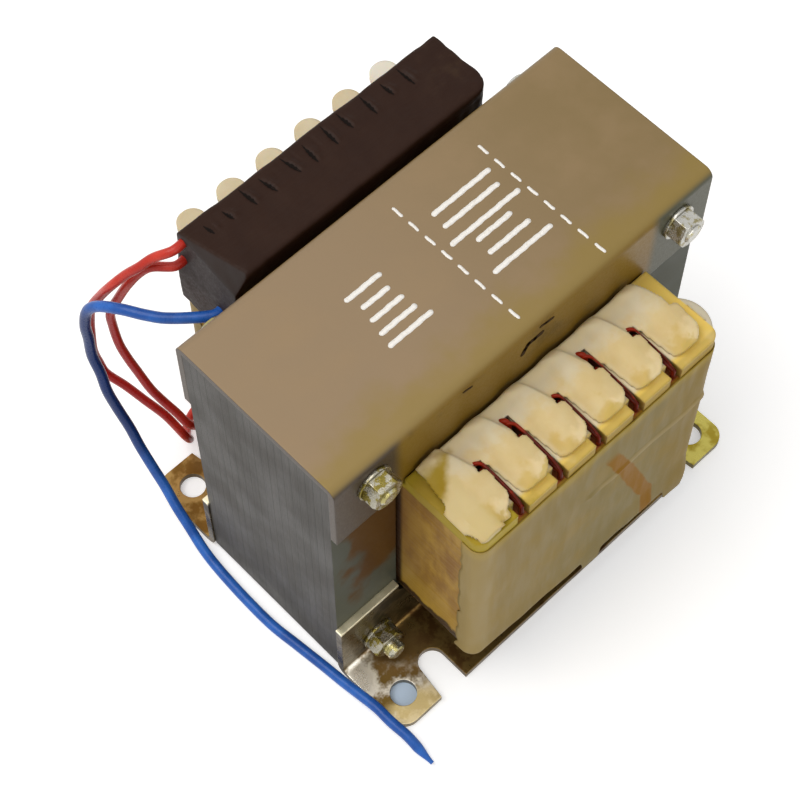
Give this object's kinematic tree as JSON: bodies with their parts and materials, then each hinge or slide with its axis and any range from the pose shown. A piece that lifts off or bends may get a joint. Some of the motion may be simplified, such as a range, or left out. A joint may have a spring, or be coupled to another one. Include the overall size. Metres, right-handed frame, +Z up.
{
  "type": "mains transformer",
  "caption": "Open-frame mains transformer: laminated core in a bolted sheet-steel clamp, coil on a slotted bobbin, mounting feet, taped terminal block and flying leads.",
  "frame": {"origin": "middle of the four round foot holes, on the mounting plane under the feet", "axes": "+X along the core towards its right end, +Y to the rear where the taped block is, +Z up"},
  "size_m": [0.1269, 0.1248, 0.104],
  "materials": {
    "core_steel": "varnished, satin",
    "clamp_steel": "satin, yellow-grey plating",
    "foot_steel": "bright yellow plating",
    "bolt_steel": "bright plating",
    "nut_steel": "bright yellow plating",
    "sleeve_paper": "matt",
    "bobbin_nylon": "satin, slightly clear",
    "winding_copper": "enamelled",
    "insulation_paper": "matt",
    "coil_tape": "satin",
    "coil_film": "smooth, satin",
    "wire_enamel": "glossy",
    "wrap_tape": "satin",
    "blue_sleeve": "glossy",
    "red_sleeve": "satin"
  },
  "bodies": {
    "root": {"e_laminations": "core_steel", "i_laminations": "core_steel", "top_clamp": "clamp_steel", "front_foot": "foot_steel", "rear_foot": "foot_steel", "clamp_bolts": "bolt_steel", "bolt_sleeves": "sleeve_paper", "washers": "bolt_steel", "clamp_nuts": "nut_steel", "bobbin": "bobbin_nylon", "primary_winding": "winding_copper", "interwinding_insulation": "insulation_paper", "secondary_winding": "winding_copper", "outer_tape": "coil_tape", "front_film": "coil_film", "rear_film": "coil_film", "tap_wires": "wire_enamel", "terminal_wrap": "wrap_tape", "blue_lead": "blue_sleeve", "red_lead_upper": "red_sleeve", "red_lead_lower": "red_sleeve"}
  },
  "joints": []
}
